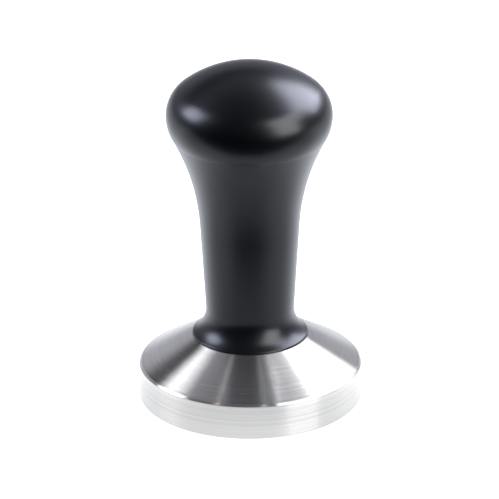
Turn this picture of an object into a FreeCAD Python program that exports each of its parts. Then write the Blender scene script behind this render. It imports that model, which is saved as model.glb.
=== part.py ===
import FreeCAD, Part
import math
import os

# Espresso tamper: a turned steel base, a turned wooden handle, and the screw joint between them.
# All lengths in millimetres, all angles in degrees. The object stands on its tamping face at Z = 0,
# and its one axis of revolution is Z.

# base (turned stainless steel)
BASE_RADIUS = 29.0
BASE_WALL_HEIGHT = 9.1
BASE_RIM_CHAMFER = 0.5
BASE_FOOT_CHAMFER = 0.3
BASE_CONE_ANGLE = 30.0
SEAT_HEIGHT = 17.3

# handle, outside (turned wood), from the crown down
TOTAL_HEIGHT = 91.0
HEAD_RADIUS = 21.3
CROWN_ARC = 29.3
SHOULDER_ARC = 9.2
BULGE_ARC = 11.6
BULGE_END_ANGLE = 31.4
THROAT_ARC = 8.8
THROAT_END_ANGLE = 27.4
FLARE_ARC = 58.6
NECK_TAPER_ANGLE = 3.35
FOOT_FLARE_ARC = 8.0
FOOT_BEAD_ARC = 0.5
FOOT_RADIUS = 15.05
FOOT_EDGE_BREAK = 0.2

# M8 screw joint
THREAD_RADIUS = 3.97
THREAD_PITCH = 1.25
THREAD_DEPTH = 0.68
THREAD_FLANK_ANGLE = 30.0
THREAD_CREST_FLAT = THREAD_PITCH / 8.0
THREAD_CLEARANCE = 0.05
DRILL_POINT_ANGLE = 118.0

# cutting of the stud: how far the cuts run outside the blank, and where the blank's seam is
GROOVE_OVERCUT = 0.2
GROOVE_RUN_OUT = THREAD_PITCH
SOCKET_OVERCUT = 1.0
BLANK_SEAM_ANGLE = 47.0

# stud (hex socket set screw, cup point)
STUD_LENGTH = 25.0
STUD_PROTRUSION = 14.6
STUD_END_CHAMFER = 0.9
STUD_CUP_RADIUS = 2.0
STUD_CUP_DEPTH = 1.0
HEX_SIDES = 6
HEX_ACROSS_FLATS = 4.0
HEX_DEPTH = 5.0
HOLE_COUNTERSINK = 0.6

# threaded insert (knurled brass, flanged)
INSERT_LENGTH = 16.0
INSERT_RADIUS = 6.0
INSERT_GLUE_GAP = 0.05
INSERT_GROOVE_DEPTH = 0.6
INSERT_GROOVE_WIDTH = 1.6
INSERT_FLANGE_RADIUS = 7.2
INSERT_FLANGE_THICKNESS = 1.2
INSERT_FLANGE_RECESS = 0.1
INSERT_END_CHAMFER = 0.5
KNURL_COUNT = 30
KNURL_DEPTH = 0.35

# seal ring (rubber ring of 1.78 mm section, squeezed in its groove)
RING_MEAN_RADIUS = 9.8
RING_HEIGHT = 1.35
RING_WIDTH = 2.05
RING_CORNER = 0.55
GROOVE_WIDTH = 2.3


def point(radius, height):
    return FreeCAD.Vector(radius, 0.0, height)


def line(start, end):
    return Part.LineSegment(start, end).toShape()


def arc(start, centre, radius, end):
    """The shorter arc between two points of a circle."""
    chord_middle = (start + end) * 0.5
    outward = chord_middle - centre
    outward.normalize()
    middle = centre + outward * radius
    return Part.Arc(start, middle, end).toShape()


def revolve(edges):
    """Closed profile in the XZ plane, turned once round Z."""
    face = Part.Face(Part.Wire(edges))
    solid = face.revolve(FreeCAD.Vector(0, 0, 0), FreeCAD.Vector(0, 0, 1), 360)
    return solid


def polygon_edges(points):
    closed = points + [points[0]]
    return [line(a, b) for a, b in zip(closed[:-1], closed[1:])]


def drill_point_depth(radius):
    return radius / math.tan(math.radians(DRILL_POINT_ANGLE / 2.0))


def hole_radius():
    return THREAD_RADIUS + THREAD_CLEARANCE


def stud_bottom():
    return SEAT_HEIGHT + STUD_PROTRUSION - STUD_LENGTH


def base_hole_floor():
    """Height where the full width of the blind hole ends: the stud's end sits on the drill point."""
    end_radius = THREAD_RADIUS - STUD_END_CHAMFER
    return stud_bottom() + drill_point_depth(hole_radius() - end_radius)


def base_shape():
    slope = math.tan(math.radians(BASE_CONE_ANGLE))
    rim_radius = BASE_RADIUS - BASE_RIM_CHAMFER
    rim_height = BASE_WALL_HEIGHT + BASE_RIM_CHAMFER
    seat_radius = rim_radius - (SEAT_HEIGHT - rim_height) / slope
    floor = base_hole_floor()
    tip = floor - drill_point_depth(hole_radius())
    profile = [
        point(0, 0),
        point(BASE_RADIUS - BASE_FOOT_CHAMFER, 0),
        point(BASE_RADIUS, BASE_FOOT_CHAMFER),
        point(BASE_RADIUS, BASE_WALL_HEIGHT),
        point(rim_radius, rim_height),
        point(seat_radius, SEAT_HEIGHT),
        point(hole_radius() + HOLE_COUNTERSINK, SEAT_HEIGHT),
        point(hole_radius(), SEAT_HEIGHT - HOLE_COUNTERSINK),
        point(hole_radius(), floor),
        point(0, tip),
    ]
    return revolve(polygon_edges(profile))


def handle_outline():
    """Outer edges of the handle from the crown down to the underside, and its last point."""
    taper = math.radians(NECK_TAPER_ANGLE)
    bulge_end = math.radians(BULGE_END_ANGLE)
    throat_end = math.radians(THROAT_END_ANGLE)

    # crown arc, tangent inside to the shoulder arc that ends at the widest radius
    crown_centre = point(0, TOTAL_HEIGHT - CROWN_ARC)
    side = HEAD_RADIUS - SHOULDER_ARC
    rise = math.sqrt((CROWN_ARC - SHOULDER_ARC) ** 2 - side ** 2)
    widest = TOTAL_HEIGHT - CROWN_ARC + rise
    shoulder_centre = point(side, widest)
    direction = shoulder_centre - crown_centre
    direction.normalize()
    crown_top = point(0, TOTAL_HEIGHT)
    crown_end = crown_centre + direction * CROWN_ARC
    head_side = point(HEAD_RADIUS, widest)

    # bulge under the widest radius
    bulge_normal = point(math.cos(bulge_end), -math.sin(bulge_end))
    bulge_centre = point(HEAD_RADIUS - BULGE_ARC, widest)
    bulge_low = bulge_centre + bulge_normal * BULGE_ARC

    # short hollow throat, then the long hollow flare down to the straight neck
    throat_normal = point(math.cos(throat_end), -math.sin(throat_end))
    neck_normal = point(math.cos(taper), -math.sin(taper))
    throat_centre = bulge_low + bulge_normal * THROAT_ARC
    throat_low = throat_centre - throat_normal * THROAT_ARC
    flare_centre = throat_low + throat_normal * FLARE_ARC
    flare_low = flare_centre - neck_normal * FLARE_ARC

    # thin bead round the foot, and the hollow foot flare that is tangent to the bead and the neck
    bead_height = SEAT_HEIGHT + FOOT_EDGE_BREAK
    bead_centre = point(FOOT_RADIUS - FOOT_BEAD_ARC, bead_height)
    reach = FOOT_BEAD_ARC + FOOT_FLARE_ARC
    neck_at_bead = flare_low.x - (flare_low.z - bead_height) * math.tan(taper)
    needed = neck_at_bead + FOOT_FLARE_ARC / math.cos(taper) - bead_centre.x
    bead_turn = math.acos(needed / reach * math.cos(taper)) - taper
    bead_normal = point(math.cos(bead_turn), math.sin(bead_turn))
    bead_top = bead_centre + bead_normal * FOOT_BEAD_ARC
    foot_centre = bead_centre + bead_normal * reach
    neck_low = foot_centre - neck_normal * FOOT_FLARE_ARC
    bead_side = point(FOOT_RADIUS, bead_height)
    underside = point(FOOT_RADIUS - FOOT_EDGE_BREAK, SEAT_HEIGHT)

    edges = [
        arc(crown_top, crown_centre, CROWN_ARC, crown_end),
        arc(crown_end, shoulder_centre, SHOULDER_ARC, head_side),
        arc(head_side, bulge_centre, BULGE_ARC, bulge_low),
        arc(bulge_low, throat_centre, THROAT_ARC, throat_low),
        arc(throat_low, flare_centre, FLARE_ARC, flare_low),
        line(flare_low, neck_low),
        arc(neck_low, foot_centre, FOOT_FLARE_ARC, bead_top),
        arc(bead_top, bead_centre, FOOT_BEAD_ARC, bead_side),
        line(bead_side, underside),
    ]
    return edges, underside


def handle_shape():
    edges, underside = handle_outline()
    bore = INSERT_RADIUS + INSERT_GLUE_GAP
    counterbore = INSERT_FLANGE_RADIUS + INSERT_GLUE_GAP
    shelf = SEAT_HEIGHT + INSERT_FLANGE_RECESS + INSERT_FLANGE_THICKNESS
    bore_end = SEAT_HEIGHT + INSERT_FLANGE_RECESS + INSERT_LENGTH + STUD_END_CHAMFER
    groove_in = RING_MEAN_RADIUS - GROOVE_WIDTH / 2.0
    groove_out = RING_MEAN_RADIUS + GROOVE_WIDTH / 2.0
    groove_top = SEAT_HEIGHT + RING_HEIGHT
    inside = [
        underside,
        point(groove_out, SEAT_HEIGHT),
        point(groove_out, groove_top),
        point(groove_in, groove_top),
        point(groove_in, SEAT_HEIGHT),
        point(counterbore, SEAT_HEIGHT),
        point(counterbore, shelf),
        point(bore, shelf),
        point(bore, bore_end),
        point(0, bore_end + drill_point_depth(bore)),
        point(0, TOTAL_HEIGHT),
    ]
    edges += [line(a, b) for a, b in zip(inside[:-1], inside[1:])]
    return revolve(edges)


def thread_groove(bottom, length):
    """Helical V groove with a flat root; its turns leave the crest flat between them."""
    root = THREAD_RADIUS - THREAD_DEPTH
    outside = THREAD_RADIUS + GROOVE_OVERCUT
    flank = math.tan(math.radians(THREAD_FLANK_ANGLE))
    crest_half = (THREAD_PITCH - THREAD_CREST_FLAT) / 2.0
    root_half = crest_half - THREAD_DEPTH * flank
    outside_half = crest_half + GROOVE_OVERCUT * flank
    start = bottom - GROOVE_RUN_OUT
    helix = Part.makeHelix(THREAD_PITCH, length + 2.0 * GROOVE_RUN_OUT, root)
    helix.translate(FreeCAD.Vector(0, 0, start))
    profile = Part.Wire(polygon_edges([
        point(root, start - root_half),
        point(outside, start - outside_half),
        point(outside, start + outside_half),
        point(root, start + root_half),
    ]))
    return Part.Wire(helix).makePipeShell([profile], True, True)


def stud_blank(bottom, top):
    """Stud before threading: chamfered at both ends, cup in the lower end."""
    end = THREAD_RADIUS - STUD_END_CHAMFER
    profile = [
        point(0, bottom + STUD_CUP_DEPTH),
        point(STUD_CUP_RADIUS, bottom),
        point(end, bottom),
        point(THREAD_RADIUS, bottom + STUD_END_CHAMFER),
        point(THREAD_RADIUS, top - STUD_END_CHAMFER),
        point(end, top),
        point(0, top),
    ]
    blank = revolve(polygon_edges(profile))
    blank.rotate(FreeCAD.Vector(0, 0, 0), FreeCAD.Vector(0, 0, 1), BLANK_SEAM_ANGLE)
    return blank


def hex_socket(top):
    corner = HEX_ACROSS_FLATS / 2.0 / math.cos(math.pi / HEX_SIDES)
    corners = []
    for index in range(HEX_SIDES):
        angle = 2.0 * math.pi * index / HEX_SIDES
        x = corner * math.cos(angle)
        y = corner * math.sin(angle)
        corners.append(FreeCAD.Vector(x, y, top - HEX_DEPTH))
    face = Part.Face(Part.Wire(polygon_edges(corners)))
    return face.extrude(FreeCAD.Vector(0, 0, HEX_DEPTH + SOCKET_OVERCUT))


def stud_shape():
    bottom = stud_bottom()
    top = bottom + STUD_LENGTH
    threaded = stud_blank(bottom, top).cut(thread_groove(bottom, STUD_LENGTH))
    return threaded.cut(hex_socket(top))


def knurl_outline(height):
    """Straight knurl: a closed ring of V teeth, as a face at the given height."""
    points = []
    for index in range(2 * KNURL_COUNT):
        angle = math.pi * index / KNURL_COUNT
        radius = INSERT_RADIUS - KNURL_DEPTH * (index % 2)
        x = radius * math.cos(angle)
        y = radius * math.sin(angle)
        points.append(FreeCAD.Vector(x, y, height))
    return Part.Face(Part.Wire(polygon_edges(points)))


def insert_shape():
    bottom = SEAT_HEIGHT + INSERT_FLANGE_RECESS
    top = bottom + INSERT_LENGTH
    shoulder = bottom + INSERT_FLANGE_THICKNESS
    middle = (shoulder + top) / 2.0
    neck = INSERT_RADIUS - INSERT_GROOVE_DEPTH
    countersunk = hole_radius() + HOLE_COUNTERSINK
    half_groove = INSERT_GROOVE_WIDTH / 2.0
    teeth = knurl_outline(shoulder).extrude(FreeCAD.Vector(0, 0, top - shoulder))
    limit = revolve(polygon_edges([
        point(0, bottom),
        point(INSERT_FLANGE_RADIUS, bottom),
        point(INSERT_FLANGE_RADIUS, shoulder),
        point(INSERT_RADIUS, shoulder),
        point(INSERT_RADIUS, middle - half_groove),
        point(neck, middle - half_groove),
        point(neck, middle + half_groove),
        point(INSERT_RADIUS, middle + half_groove),
        point(INSERT_RADIUS, top - INSERT_END_CHAMFER),
        point(INSERT_RADIUS - INSERT_END_CHAMFER, top),
        point(0, top),
    ]))
    flange = Part.makeCylinder(
        INSERT_FLANGE_RADIUS,
        INSERT_FLANGE_THICKNESS,
        FreeCAD.Vector(0, 0, bottom),
    )
    bore = revolve(polygon_edges([
        point(0, bottom),
        point(countersunk, bottom),
        point(hole_radius(), bottom + HOLE_COUNTERSINK),
        point(hole_radius(), top),
        point(0, top),
    ]))
    return flange.fuse(teeth).common(limit).cut(bore)


def ring_shape():
    """Rounded section, flat where it is pressed against the seat and the groove."""
    inner = RING_MEAN_RADIUS - RING_WIDTH / 2.0
    outer = RING_MEAN_RADIUS + RING_WIDTH / 2.0
    low = SEAT_HEIGHT
    high = SEAT_HEIGHT + RING_HEIGHT
    corners = [
        (point(inner, low + RING_CORNER), point(inner + RING_CORNER, low)),
        (point(outer - RING_CORNER, low), point(outer, low + RING_CORNER)),
        (point(outer, high - RING_CORNER), point(outer - RING_CORNER, high)),
        (point(inner + RING_CORNER, high), point(inner, high - RING_CORNER)),
    ]
    centres = [
        point(inner + RING_CORNER, low + RING_CORNER),
        point(outer - RING_CORNER, low + RING_CORNER),
        point(outer - RING_CORNER, high - RING_CORNER),
        point(inner + RING_CORNER, high - RING_CORNER),
    ]
    edges = []
    for index, (start, end) in enumerate(corners):
        edges.append(arc(start, centres[index], RING_CORNER, end))
        edges.append(line(end, corners[(index + 1) % len(corners)][0]))
    return revolve(edges)


def export(name, shape):
    solid = shape.Solids[0]
    solid.exportStep(os.path.join("parts", name + ".step"))
    print(name, len(shape.Solids), solid.isValid(), round(solid.Volume, 1), solid.BoundBox)


def main():
    os.makedirs("parts", exist_ok=True)
    export("base", base_shape())
    export("handle", handle_shape())
    export("stud", stud_shape())
    export("threaded_insert", insert_shape())
    export("seal_ring", ring_shape())


main()
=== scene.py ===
import math

import bmesh
import bpy
from mathutils import Matrix, Vector


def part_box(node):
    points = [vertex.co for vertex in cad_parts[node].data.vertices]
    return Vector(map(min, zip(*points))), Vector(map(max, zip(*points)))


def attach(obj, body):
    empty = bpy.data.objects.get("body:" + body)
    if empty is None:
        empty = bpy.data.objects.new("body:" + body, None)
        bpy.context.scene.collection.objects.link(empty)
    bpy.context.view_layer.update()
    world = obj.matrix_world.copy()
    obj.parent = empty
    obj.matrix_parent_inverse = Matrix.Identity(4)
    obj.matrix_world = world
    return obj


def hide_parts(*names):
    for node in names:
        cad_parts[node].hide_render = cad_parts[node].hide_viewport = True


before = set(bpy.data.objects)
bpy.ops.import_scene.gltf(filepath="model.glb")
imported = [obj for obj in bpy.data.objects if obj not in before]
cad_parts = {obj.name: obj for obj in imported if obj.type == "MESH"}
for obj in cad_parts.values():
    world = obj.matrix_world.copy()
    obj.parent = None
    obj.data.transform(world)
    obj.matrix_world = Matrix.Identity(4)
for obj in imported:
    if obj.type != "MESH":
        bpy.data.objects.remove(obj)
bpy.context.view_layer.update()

# The shapes below are turned outlines in (radius, height). Heights and radii that the frame can give
# come from the frame; the rest are the arcs of the turned outline, in metres.
BASE_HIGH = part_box("base")[1]
HANDLE_LOW, HANDLE_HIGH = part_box("handle")
STUD_LOW, STUD_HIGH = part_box("stud")
RING_LOW, RING_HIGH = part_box("seal_ring")
INSERT_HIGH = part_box("threaded_insert")[1]

MM = 0.001
AROUND = 240                    # steps round the axis of a turned piece
ARC_STEP = math.radians(3.0)    # longest step along an arc of an outline
NECK_STEP = 1.5 * MM            # longest step down the straight neck
SHARP_ANGLE = math.radians(24)
ON_AXIS = 1e-9                  # a ring no wider than this is a single point

# base
BASE_RADIUS = BASE_HIGH.x
SEAT = BASE_HIGH.z
WALL_HEIGHT = 9.1 * MM
RIM_CHAMFER = 0.5 * MM
CONE_ANGLE = math.radians(30)
EDGE_ROUND = 0.12 * MM
FOOT_ROUND = 0.3 * MM
HOLE_RADIUS = 4.02 * MM
COUNTERSINK = 0.6 * MM
DRILL_POINT = math.radians(59)

# handle
HEAD_RADIUS = HANDLE_HIGH.x
TOP = HANDLE_HIGH.z
CROWN_ARC = 29.3 * MM
SHOULDER_ARC = 9.2 * MM
BULGE_ARC = 11.6 * MM
BULGE_END = math.radians(31.4)
THROAT_ARC = 8.8 * MM
THROAT_END = math.radians(27.4)
FLARE_ARC = 58.6 * MM
NECK_TAPER = math.radians(3.35)
FOOT_FLARE = 8.0 * MM
FOOT_BEAD = 0.5 * MM
FOOT_RADIUS = 15.05 * MM
FOOT_EDGE = 0.2 * MM
GROOVE_IN = 8.65 * MM
GROOVE_OUT = 10.95 * MM
GROOVE_DEPTH = 1.35 * MM
COUNTERBORE = 7.25 * MM
COUNTERBORE_DEPTH = 1.3 * MM
BORE = 6.05 * MM
BORE_PAST_INSERT = 0.9 * MM
BORE_END = INSERT_HIGH.z + BORE_PAST_INSERT

# seal ring
SEAL_CORNER = 0.55 * MM
SEAL_PLAY = 0.25 * MM           # how much narrower the ring is than its groove

# stud
THREAD_RADIUS = 3.97 * MM
THREAD_DEPTH = 0.68 * MM
THREAD_PITCH = 1.25 * MM
ROOT_ENDS = 0.12                # in pitches from the middle of the root
CREST_STARTS = 0.44
STUD_AROUND = 60
STUD_STEPS_PER_PITCH = 14
STUD_CHAMFER = 0.9 * MM
CUP_RADIUS = 2.0 * MM
CUP_DEPTH = 1.0 * MM
HEX_ACROSS_FLATS = 4.0 * MM
HEX_DEPTH = 5.0 * MM
HEX_SIDE_ANGLE = math.radians(60)

# the stud's chamfered end stands on the drill point of the base's blind hole
HOLE_FLOOR = STUD_LOW.z + (HOLE_RADIUS - THREAD_RADIUS + STUD_CHAMFER) / math.tan(DRILL_POINT)

# camera: standing back on a long lens, looking down on the head, with a slight roll
CAMERA_DISTANCE = 1.0
CAMERA_TARGET_HEIGHT = 0.045
CAMERA_ELEVATION = math.radians(22.794)
CAMERA_PITCH = math.radians(23.033)
CAMERA_ROLL = math.radians(-0.257)
CAMERA_SIDE = -0.00009
CAMERA_LENS = 279.74
CAMERA_SENSOR = 36.0
CAMERA_NEAR = 0.05
CAMERA_FAR = 20.0

# studio
LIGHT_DISTANCE = 0.8
LIGHT_TARGET = Vector((0.0, 0.0, 0.05))
FLOOR_FRONT = -0.080
FLOOR_BACK = 2.0
FLOOR_SIDE = 1.5
FLOOR_HEIGHT = -0.00002         # just under the tamping face, so the two surfaces never coincide
FLOOR_OVERLAP = 0.1             # level that both of the floor's curves count, so it is taken off once
FRONT_TO_BACK = (-0.1, 0.5)     # the room's front gives way to its back wall over these values of Y

NOISE_RANGE = (0.3, 0.7)        # a noise texture stays mostly within these


# ---------------------------------------------------------------- outlines

def arc(centre, radius, start, end):
    """Points of an arc, both ends included; angles from the outward direction, positive upwards."""
    steps = max(2, math.ceil(abs(end - start) / ARC_STEP))
    points = []
    for index in range(steps + 1):
        angle = start + (end - start) * index / steps
        points.append((centre[0] + radius * math.cos(angle), centre[1] + radius * math.sin(angle)))
    return points


def rounded(corner_points, radius):
    """The inner corners of an open outline, each rounded to a radius; its two ends stay."""
    made = [corner_points[0]]
    for before, corner, after in zip(corner_points, corner_points[1:], corner_points[2:]):
        here = Vector(corner)
        back = (Vector(before) - here).normalized()
        ahead = (Vector(after) - here).normalized()
        half = back.angle(ahead) / 2.0
        reach = radius / math.tan(half)
        centre = here + (back + ahead).normalized() * radius / math.sin(half)
        first = here + back * reach - centre
        turn = math.pi - 2.0 * half
        side = 1.0 if first.x * ahead.y - first.y * ahead.x > 0 else -1.0
        start = math.atan2(first.y, first.x)
        made += arc((centre.x, centre.y), radius, start, start + side * turn)
    made.append(corner_points[-1])
    return made


def straight(start, end, longest):
    """Points of a straight stretch, no further apart than longest."""
    steps = max(1, math.ceil((Vector(end) - Vector(start)).length / longest))
    return [tuple(Vector(start).lerp(Vector(end), index / steps)) for index in range(steps + 1)]


def handle_outside():
    """Crown, shoulder, bulge, throat, flare, neck, foot flare and thin bead, from the top down."""
    side = HEAD_RADIUS - SHOULDER_ARC
    rise = math.sqrt((CROWN_ARC - SHOULDER_ARC) ** 2 - side ** 2)
    crown_centre = TOP - CROWN_ARC
    widest = crown_centre + rise
    crown_end = math.atan2(rise, side)
    outline = arc((0.0, crown_centre), CROWN_ARC, math.pi / 2.0, crown_end)
    outline += arc((side, widest), SHOULDER_ARC, crown_end, 0.0)[1:]
    outline += arc((HEAD_RADIUS - BULGE_ARC, widest), BULGE_ARC, 0.0, -BULGE_END)[1:]

    low = outline[-1]
    centre = (low[0] + THROAT_ARC * math.cos(BULGE_END), low[1] - THROAT_ARC * math.sin(BULGE_END))
    outline += arc(centre, THROAT_ARC, math.pi - BULGE_END, math.pi - THROAT_END)[1:]
    low = outline[-1]
    centre = (low[0] + FLARE_ARC * math.cos(THROAT_END), low[1] - FLARE_ARC * math.sin(THROAT_END))
    outline += arc(centre, FLARE_ARC, math.pi - THROAT_END, math.pi - NECK_TAPER)[1:]

    low = outline[-1]
    bead_height = HANDLE_LOW.z + FOOT_EDGE
    bead_centre = FOOT_RADIUS - FOOT_BEAD
    reach = FOOT_BEAD + FOOT_FLARE
    neck_at_bead = low[0] - (low[1] - bead_height) * math.tan(NECK_TAPER)
    needed = neck_at_bead + FOOT_FLARE / math.cos(NECK_TAPER) - bead_centre
    bead_turn = math.acos(needed / reach * math.cos(NECK_TAPER)) - NECK_TAPER
    flare = (bead_centre + reach * math.cos(bead_turn), bead_height + reach * math.sin(bead_turn))
    foot = arc(flare, FOOT_FLARE, math.pi - NECK_TAPER, math.pi + bead_turn)
    outline += straight(low, foot[0], NECK_STEP)[1:]
    outline += foot[1:]
    outline += arc((bead_centre, bead_height), FOOT_BEAD, bead_turn, 0.0)[1:]
    outline += arc((FOOT_RADIUS - FOOT_EDGE, bead_height), FOOT_EDGE, 0.0, -math.pi / 2.0)[1:]
    return outline


def handle_inside():
    """Underside with the seal's groove, counterbore and bore, from the foot's edge to the axis."""
    low = HANDLE_LOW.z
    return [
        (GROOVE_OUT, low),
        (GROOVE_OUT, low + GROOVE_DEPTH),
        (GROOVE_IN, low + GROOVE_DEPTH),
        (GROOVE_IN, low),
        (COUNTERBORE, low),
        (COUNTERBORE, low + COUNTERBORE_DEPTH),
        (BORE, low + COUNTERBORE_DEPTH),
        (BORE, BORE_END),
        (0.0, BORE_END + BORE / math.tan(DRILL_POINT)),
    ]


def base_outside():
    """From the hole's mouth over the seat, down the cone, the rim and the wall to the face."""
    slope = math.tan(CONE_ANGLE)
    rim = BASE_RADIUS - RIM_CHAMFER
    rim_height = WALL_HEIGHT + RIM_CHAMFER
    seat_radius = rim - (SEAT - rim_height) / slope
    corners = [
        (HOLE_RADIUS, SEAT - COUNTERSINK),
        (HOLE_RADIUS + COUNTERSINK, SEAT),
        (seat_radius, SEAT),
        (rim, rim_height),
        (BASE_RADIUS, WALL_HEIGHT),
        (BASE_RADIUS, FOOT_ROUND),
        (BASE_RADIUS - FOOT_ROUND, 0.0),
        (0.0, 0.0),
    ]
    return rounded(corners, EDGE_ROUND)


def base_inside():
    """The blind hole's drill point, from the axis out to the hole's wall."""
    tip = HOLE_FLOOR - HOLE_RADIUS / math.tan(DRILL_POINT)
    return [(0.0, tip), (HOLE_RADIUS, HOLE_FLOOR)]


def seal_section():
    """Rubber ring's section: rounded corners, flat where it is pressed."""
    outer = RING_HIGH.x
    inner = outer - (GROOVE_OUT - GROOVE_IN) + SEAL_PLAY
    low, high = RING_LOW.z, RING_HIGH.z
    section = arc((outer - SEAL_CORNER, low + SEAL_CORNER), SEAL_CORNER, -math.pi / 2.0, 0.0)
    section += arc((outer - SEAL_CORNER, high - SEAL_CORNER), SEAL_CORNER, 0.0, math.pi / 2.0)
    section += arc((inner + SEAL_CORNER, high - SEAL_CORNER), SEAL_CORNER, math.pi / 2.0, math.pi)
    section += arc((inner + SEAL_CORNER, low + SEAL_CORNER), SEAL_CORNER, math.pi, 1.5 * math.pi)
    return section


# ---------------------------------------------------------------- meshes

def finish_mesh(name, mesh_builder, body, replaced):
    """Turns a bmesh into a smooth-shaded piece that rides on a body and stands for a CAD node."""
    bmesh.ops.recalc_face_normals(mesh_builder, faces=mesh_builder.faces)
    mesh = bpy.data.meshes.new(name)
    mesh_builder.to_mesh(mesh)
    mesh_builder.free()
    mesh.shade_smooth()
    mesh.set_sharp_from_angle(angle=SHARP_ANGLE)
    piece = bpy.data.objects.new(name, mesh)
    bpy.context.scene.collection.objects.link(piece)
    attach(piece, body)
    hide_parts(replaced)
    return piece


def ring_of(radius_at, height, around):
    """One ring of points; radius_at gives the radius for an angle."""
    ring = []
    for index in range(around):
        angle = 2.0 * math.pi * index / around
        radius = radius_at(angle)
        ring.append(Vector((radius * math.cos(angle), radius * math.sin(angle), height)))
    return ring


def circle(radius, height, around):
    """One round ring; a ring on the axis is a single point."""
    if radius < ON_AXIS:
        return [Vector((0.0, 0.0, height))]
    return ring_of(lambda angle: radius, height, around)


def loft(rings, closed=False):
    """Skins rings of points in order."""
    builder = bmesh.new()
    made = [[builder.verts.new(point) for point in ring] for ring in rings]
    pairs = list(zip(made, made[1:]))
    if closed:
        pairs.append((made[-1], made[0]))
    for first, second in pairs:
        around = max(len(first), len(second))
        for step in range(around):
            after = (step + 1) % around
            corners = []
            for ring, order in ((first, (step, after)), (second, (after, step))):
                corners += [ring[0]] if len(ring) == 1 else [ring[place] for place in order]
            builder.faces.new(corners)
    return builder


def turned(outline, around, closed=False):
    """Turns an outline round the axis."""
    return loft([circle(radius, height, around) for radius, height in outline], closed)


def build_handle():
    builder = turned(handle_outside() + handle_inside(), AROUND)
    return finish_mesh("handle_turned", builder, "handle_unit", "handle")


def build_base():
    builder = turned(base_inside() + base_outside(), AROUND)
    return finish_mesh("base_turned", builder, "base_unit", "base")


def build_seal():
    builder = turned(seal_section(), AROUND // 2, closed=True)
    return finish_mesh("seal_ring_rubber", builder, "seal_unit", "seal_ring")


def thread_height(angle, height):
    """0 on the flat crest, 1 on the flat root of a right-hand thread."""
    turn = (height - STUD_LOW.z) / THREAD_PITCH - angle / (2.0 * math.pi)
    from_root = abs((turn + 0.5) % 1.0 - 0.5)
    return min(1.0, max(0.0, (CREST_STARTS - from_root) / (CREST_STARTS - ROOT_ENDS)))


def thread_ring(height):
    """One ring of the threaded rod, held inside the chamfered ends."""
    from_end = min(height - STUD_LOW.z, STUD_HIGH.z - height)
    limit = THREAD_RADIUS - max(0.0, STUD_CHAMFER - from_end)

    def radius_at(angle):
        return min(limit, THREAD_RADIUS - THREAD_DEPTH * thread_height(angle, height))

    return ring_of(radius_at, height, STUD_AROUND)


def hexagon_ring(height):
    """The same number of points as a ring of the rod, on the walls of the hex socket."""
    def radius_at(angle):
        from_flat = (angle + HEX_SIDE_ANGLE / 2.0) % HEX_SIDE_ANGLE - HEX_SIDE_ANGLE / 2.0
        return HEX_ACROSS_FLATS / 2.0 / math.cos(from_flat)

    return ring_of(radius_at, height, STUD_AROUND)


def build_stud():
    """Threaded rod with a cup point below and a hex socket above."""
    length = STUD_HIGH.z - STUD_LOW.z
    steps = round(length / THREAD_PITCH * STUD_STEPS_PER_PITCH)
    rings = [circle(0.0, STUD_LOW.z + CUP_DEPTH, 1), circle(CUP_RADIUS, STUD_LOW.z, STUD_AROUND)]
    for index in range(steps + 1):
        rings.append(thread_ring(STUD_LOW.z + length * index / steps))
    rings.append(hexagon_ring(STUD_HIGH.z))
    rings.append(hexagon_ring(STUD_HIGH.z - HEX_DEPTH))
    rings.append(circle(0.0, STUD_HIGH.z - HEX_DEPTH - CUP_DEPTH, 1))
    return finish_mesh("stud_screw", loft(rings), "base_unit", "stud")


# ---------------------------------------------------------------- shader nodes

def new_material(name):
    """A node material, with its tree and its shader."""
    material = bpy.data.materials.new(name)
    material.use_nodes = True
    tree = material.node_tree
    return material, tree, tree.nodes["Principled BSDF"]


def set_inputs(shader, **values):
    for name, value in values.items():
        shader.inputs[name.replace("_", " ")].default_value = value


def node(tree, kind, **settings):
    made = tree.nodes.new(kind)
    for name, value in settings.items():
        setattr(made, name, value)
    return made


def noise(tree, vector, scale, detail=2.0, roughness=0.5):
    made = node(tree, "ShaderNodeTexNoise")
    set_inputs(made, Scale=scale, Detail=detail, Roughness=roughness)
    tree.links.new(vector, made.inputs["Vector"])
    return made.outputs["Fac"]


def map_range(tree, value, start, end, interpolation="LINEAR"):
    """Maps the range start onto the range end."""
    made = node(tree, "ShaderNodeMapRange", interpolation_type=interpolation)
    set_inputs(made, From_Min=start[0], From_Max=start[1], To_Min=end[0], To_Max=end[1])
    tree.links.new(value, made.inputs["Value"])
    return made.outputs["Result"]


def spread(tree, value, low, high):
    """Spreads a noise over low to high."""
    return map_range(tree, value, NOISE_RANGE, (low, high))


def maths(tree, operation, value, other):
    """A sum or a product of a value and either another value or a number."""
    made = node(tree, "ShaderNodeMath", operation=operation)
    tree.links.new(value, made.inputs[0])
    if isinstance(other, float):
        made.inputs[1].default_value = other
    else:
        tree.links.new(other, made.inputs[1])
    return made.outputs["Value"]


def separate(tree, vector):
    made = node(tree, "ShaderNodeSeparateXYZ")
    tree.links.new(vector, made.inputs["Vector"])
    return made.outputs


def two_tone(tree, shader, value, dark, light):
    """A base colour that runs from dark to light with a value."""
    shade = node(tree, "ShaderNodeMixRGB", blend_type="MIX")
    shade.inputs["Color1"].default_value = (*dark, 1.0)
    shade.inputs["Color2"].default_value = (*light, 1.0)
    tree.links.new(value, shade.inputs["Fac"])
    tree.links.new(shade.outputs["Color"], shader.inputs["Base Color"])


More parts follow.
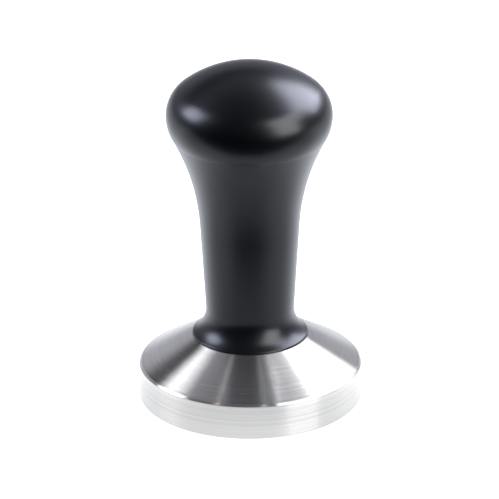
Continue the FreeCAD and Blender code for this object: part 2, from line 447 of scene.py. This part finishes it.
def curve(tree, value, stops):
    """A level at each of some values, with a smooth run between them."""
    made = node(tree, "ShaderNodeFloatCurve")
    low, high = stops[0][0], stops[-1][0]
    top = max(level for place, level in stops)
    points = made.mapping.curves[0].points
    while len(points) < len(stops):
        points.new(0.5, 0.5)
    for point, (place, level) in zip(points, stops):
        point.location = ((place - low) / (high - low), level / top)
        point.handle_type = "AUTO_CLAMPED"
    made.mapping.update()
    tree.links.new(map_range(tree, value, (low, high), (0.0, 1.0)), made.inputs["Value"])
    return maths(tree, "MULTIPLY", made.outputs["Value"], top)


def object_coordinates(tree):
    return node(tree, "ShaderNodeTexCoord").outputs["Object"]


def lathe_coordinates(tree):
    """(distance from the axis, 0, height): anything drawn with it runs in rings, as tool marks do."""
    parts = separate(tree, object_coordinates(tree))
    flat = node(tree, "ShaderNodeCombineXYZ")
    length = node(tree, "ShaderNodeVectorMath", operation="LENGTH")
    rings = node(tree, "ShaderNodeCombineXYZ")
    tree.links.new(parts["X"], flat.inputs["X"])
    tree.links.new(parts["Y"], flat.inputs["Y"])
    tree.links.new(flat.outputs["Vector"], length.inputs[0])
    tree.links.new(length.outputs["Value"], rings.inputs["X"])
    tree.links.new(parts["Z"], rings.inputs["Z"])
    return rings.outputs["Vector"]


def bump(tree, shader, height, strength, distance):
    made = node(tree, "ShaderNodeBump")
    set_inputs(made, Strength=strength, Distance=distance)
    tree.links.new(height, made.inputs["Height"])
    tree.links.new(made.outputs["Normal"], shader.inputs["Normal"])


def along_the_outline(tree, shader):
    """Turning marks run round the axis, so highlights are drawn out across them."""
    set_inputs(shader, Anisotropic=1.0, Anisotropic_Rotation=0.25)
    tangent = node(tree, "ShaderNodeTangent", direction_type="RADIAL", axis="Z")
    tree.links.new(tangent.outputs["Tangent"], shader.inputs["Tangent"])


# ---------------------------------------------------------------- materials

def turned_steel():
    """Steel with turning marks in rings of tone, polish and relief."""
    colour = (0.625, 0.605, 0.565)
    contrast = 0.09
    roughness = 0.26
    uneven = 0.05
    material, tree, shader = new_material("turned_stainless_steel")
    set_inputs(shader, Metallic=1.0)
    rings = lathe_coordinates(tree)
    fine = noise(tree, rings, scale=5200.0, detail=2.0, roughness=0.6)
    coarse = noise(tree, rings, scale=1300.0, detail=3.0, roughness=0.6)
    dark = [part * (1.0 - contrast) for part in colour]
    light = [part * (1.0 + contrast) for part in colour]
    two_tone(tree, shader, spread(tree, coarse, 0.0, 1.0), dark, light)
    polish = spread(tree, coarse, roughness * (1.0 - uneven), roughness * (1.0 + uneven))
    tree.links.new(polish, shader.inputs["Roughness"])
    along_the_outline(tree, shader)
    bump(tree, shader, fine, strength=0.30, distance=0.00002)
    return material


def black_lacquer():
    """Deep black satin lacquer over a turned shape: faint orange peel, faint wiped patches."""
    material, tree, shader = new_material("satin_black_lacquer")
    set_inputs(shader, IOR=1.35)
    place = object_coordinates(tree)
    wiped = noise(tree, place, scale=60.0, detail=3.0, roughness=0.6)
    peel = noise(tree, place, scale=1100.0, detail=2.0, roughness=0.5)
    two_tone(tree, shader, wiped, (0.0003, 0.0024, 0.0060), (0.0005, 0.0030, 0.0074))
    tree.links.new(spread(tree, wiped, 0.305, 0.335), shader.inputs["Roughness"])
    bump(tree, shader, peel, strength=0.05, distance=0.00004)
    return material


def plain_metal(name, dark, light, roughness, scale):
    """Machined metal with a little unevenness in tone and polish."""
    material, tree, shader = new_material(name)
    set_inputs(shader, Metallic=1.0)
    cloud = noise(tree, object_coordinates(tree), scale, detail=4.0, roughness=0.6)
    two_tone(tree, shader, cloud, dark, light)
    tree.links.new(spread(tree, cloud, roughness * 0.8, roughness * 1.25), shader.inputs["Roughness"])
    marks = noise(tree, lathe_coordinates(tree), scale=6000.0)
    bump(tree, shader, marks, strength=0.15, distance=0.00002)
    return material


def rubber():
    """Dull black rubber, a little dusty."""
    material, tree, shader = new_material("nitrile_rubber")
    place = object_coordinates(tree)
    dust = noise(tree, place, scale=500.0, detail=3.0, roughness=0.6)
    two_tone(tree, shader, dust, (0.008, 0.008, 0.009), (0.020, 0.020, 0.021))
    tree.links.new(spread(tree, dust, 0.55, 0.72), shader.inputs["Roughness"])
    bump(tree, shader, noise(tree, place, scale=3000.0), strength=0.2, distance=0.00003)
    return material


def screw_steel():
    return plain_metal("bright_screw_steel", (0.42, 0.42, 0.43), (0.56, 0.56, 0.57), 0.3, scale=900.0)


def brass():
    return plain_metal("machined_brass", (0.62, 0.43, 0.17), (0.75, 0.55, 0.24), 0.28, scale=700.0)


def paint(piece, material):
    """Gives the whole piece one material."""
    piece.data.materials.clear()
    piece.data.materials.append(material)


# ---------------------------------------------------------------- studio

def direction(azimuth, elevation):
    """Unit vector from angles in degrees: azimuth 0 is on the camera's side and 90 to its right."""
    turn = math.radians(azimuth)
    rise = math.radians(elevation)
    return Vector((math.cos(rise) * math.sin(turn), -math.cos(rise) * math.cos(turn), math.sin(rise)))


def light_group(name, base, state):
    """A light-linking group that either holds the base alone or leaves only the base out."""
    group = bpy.data.collections.new(name)
    group.objects.link(base)
    group.collection_objects[0].light_linking.link_state = state
    return group


def panel(name, low, high, wide, radiance, lights):
    """A rectangular light seen in reflections only, from one direction up to another.

    Directions are (azimuth, elevation) and wide is the angular width, all in degrees.
    """
    start = LIGHT_TARGET + direction(*low) * LIGHT_DISTANCE
    end = LIGHT_TARGET + direction(*high) * LIGHT_DISTANCE
    light = bpy.data.lights.new(name, "AREA")
    light.shape = "RECTANGLE"
    light.size = 2.0 * LIGHT_DISTANCE * math.tan(math.radians(wide) / 2.0)
    light.size_y = (end - start).length
    brightest = max(radiance)
    light.energy = brightest * math.pi * light.size * light.size_y
    light.color = [part / brightest for part in radiance]
    holder = bpy.data.objects.new(name, light)
    bpy.context.scene.collection.objects.link(holder)
    up = (end - start).normalized()
    middle = (start + end) / 2.0
    behind = middle - LIGHT_TARGET
    behind = (behind - up * behind.dot(up)).normalized()
    axes = Matrix((up.cross(behind), up, behind)).transposed().to_4x4()
    holder.matrix_world = Matrix.Translation(middle) @ axes
    holder.visible_diffuse = False
    holder.light_linking.receiver_collection = lights


def build_lights(base):
    """Two softboxes and two cards; the base has dimmer ones of its own, and three thin strips."""
    softboxes = (
        # name, low, high, wide, radiance for all but the base, radiance for the base
        ("left_softbox", (-96, 18), (-96, 43), 27, (13.2, 13.9, 17.4), (6.8, 6.9, 7.4)),
        ("right_softbox", (127, 19), (127, 57), 38, (12.3, 12.7, 15.0), (3.9, 4.0, 4.1)),
        ("warm_card", (54, 2), (54, 50), 32, (9.4, 9.5, 9.6), (4.6, 4.7, 5.0)),
        ("side_card", (86, 30), (86, 52), 16, (8.5, 8.7, 9.8), (2.0, 2.1, 2.5)),
    )
    strips = (
        ("base_left_strip", (-36, 35), (-67, 69), (1.9, 1.7, 1.7)),
        ("base_right_strip", (30, 26), (47, 63), (3.5, 3.8, 4.5)),
        ("base_middle_strip", (14, 40), (25, 65), (2.2, 2.5, 2.7)),
    )
    strip_width = 2
    rest = light_group("all_but_base", base, "EXCLUDE")
    for name, low, high, wide, for_rest, for_base in softboxes:
        panel(name, low, high, wide, for_rest, rest)
    alone = light_group("base_alone", base, "INCLUDE")
    for name, low, high, wide, for_rest, for_base in softboxes:
        panel("base_" + name, low, high, wide, for_base, alone)
    for name, low, high, radiance in strips:
        panel(name, low, high, strip_width, radiance, alone)


def painted_light_table():
    """A surface that shines by itself instead of being lit.

    Its level varies across and away from the camera: painted pools of light, brighter at both sides and
    behind, where the softboxes would light a real table, and dimmer in front. It is white or more
    everywhere, so the camera sees plain white, and only the reflections show that it varies.
    """
    material, tree, shader = new_material("painted_light_table")
    set_inputs(shader, Base_Color=(0.02, 0.02, 0.02, 1.0), Roughness=0.9, Specular_IOR_Level=0.0)
    set_inputs(shader, Emission_Color=(0.965, 1.0, 1.08, 1.0))
    parts = separate(tree, object_coordinates(tree))
    # painted light: the table glows brighter to each side, where the softboxes would light it
    painted_side_light = curve(tree, parts["X"], (
        (-0.16, 1.2), (-0.07, 1.65), (-0.03, 1.24), (0.0, 1.33), (0.02, 1.26), (0.045, 1.55), (0.085, 1.7),
        (0.14, 1.2),
    ))
    # painted light: the glow rises behind the base and falls away in front
    painted_back_light = curve(tree, parts["Y"], (
        (-0.065, 0.0), (-0.045, 0.18), (-0.02, 0.1), (0.05, 0.92), (0.12, 0.4), (0.4, 0.0),
    ))
    level = maths(tree, "SUBTRACT", maths(tree, "ADD", painted_side_light, painted_back_light), FLOOR_OVERLAP)
    tree.links.new(level, shader.inputs["Emission Strength"])
    return material


def build_floor():
    """A plain table under and behind the base, out to the edges of the picture, glowing with painted
    light.
    """
    builder = bmesh.new()
    corners = [
        (-FLOOR_SIDE, FLOOR_FRONT, FLOOR_HEIGHT),
        (FLOOR_SIDE, FLOOR_FRONT, FLOOR_HEIGHT),
        (FLOOR_SIDE, FLOOR_BACK, FLOOR_HEIGHT),
        (-FLOOR_SIDE, FLOOR_BACK, FLOOR_HEIGHT),
    ]
    builder.faces.new([builder.verts.new(corner) for corner in corners])
    mesh = bpy.data.meshes.new("floor")
    builder.to_mesh(mesh)
    builder.free()
    floor = bpy.data.objects.new("floor", mesh)
    bpy.context.scene.collection.objects.link(floor)
    paint(floor, painted_light_table())


def background(tree, colour):
    made = node(tree, "ShaderNodeBackground")
    set_inputs(made, Color=(*colour, 1.0))
    return made


def build_world():
    """White to the camera; a dark studio with a pale back wall to reflections."""
    world = bpy.data.worlds.new("studio")
    bpy.context.scene.world = world
    world.use_nodes = True
    tree = world.node_tree
    tree.nodes.clear()
    output = node(tree, "ShaderNodeOutputWorld")
    backdrop = background(tree, (1.0, 1.0, 1.0))
    room = background(tree, (0.95, 0.98, 1.14))
    choose = node(tree, "ShaderNodeMixShader")
    rays = node(tree, "ShaderNodeLightPath")
    tree.links.new(rays.outputs["Is Camera Ray"], choose.inputs["Fac"])
    tree.links.new(room.outputs["Background"], choose.inputs[1])
    tree.links.new(backdrop.outputs["Background"], choose.inputs[2])
    tree.links.new(choose.outputs["Shader"], output.inputs["Surface"])

    # the level of the room by the sine of the elevation, for the back wall and for the front
    parts = separate(tree, node(tree, "ShaderNodeTexCoord").outputs["Generated"])
    behind = map_range(tree, parts["Y"], FRONT_TO_BACK, (0.0, 1.0), interpolation="SMOOTHSTEP")
    back = curve(tree, parts["Z"], (
        (0.0, 0.33), (0.12, 0.46), (0.32, 0.57), (0.56, 0.0), (0.75, 0.6), (1.0, 0.17),
    ))
    front = curve(tree, parts["Z"], ((-0.05, 0.02), (0.05, 0.07), (0.6, 0.14), (1.0, 0.19)))
    level = node(tree, "ShaderNodeMixRGB", blend_type="MIX")
    tree.links.new(behind, level.inputs["Fac"])
    tree.links.new(front, level.inputs["Color1"])
    tree.links.new(back, level.inputs["Color2"])
    tree.links.new(level.outputs["Color"], room.inputs["Strength"])


def build_camera():
    camera = bpy.data.cameras.new("camera")
    camera.lens = CAMERA_LENS
    camera.sensor_width = CAMERA_SENSOR
    camera.clip_start = CAMERA_NEAR
    camera.clip_end = CAMERA_FAR
    holder = bpy.data.objects.new("camera", camera)
    bpy.context.scene.collection.objects.link(holder)
    place = Vector((
        CAMERA_SIDE,
        -CAMERA_DISTANCE * math.cos(CAMERA_ELEVATION),
        CAMERA_TARGET_HEIGHT + CAMERA_DISTANCE * math.sin(CAMERA_ELEVATION),
    ))
    tilt = Matrix.Rotation(math.pi / 2.0 - CAMERA_PITCH, 4, "X")
    roll = Matrix.Rotation(CAMERA_ROLL, 4, "Z")
    holder.matrix_world = Matrix.Translation(place) @ tilt @ roll
    bpy.context.scene.camera = holder
    bpy.context.scene.view_settings.view_transform = "Standard"


def main():
    base = build_base()
    paint(base, turned_steel())
    paint(build_handle(), black_lacquer())
    paint(build_seal(), rubber())
    paint(build_stud(), screw_steel())
    paint(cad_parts["threaded_insert"], brass())
    build_floor()
    build_world()
    build_lights(base)
    build_camera()


main()
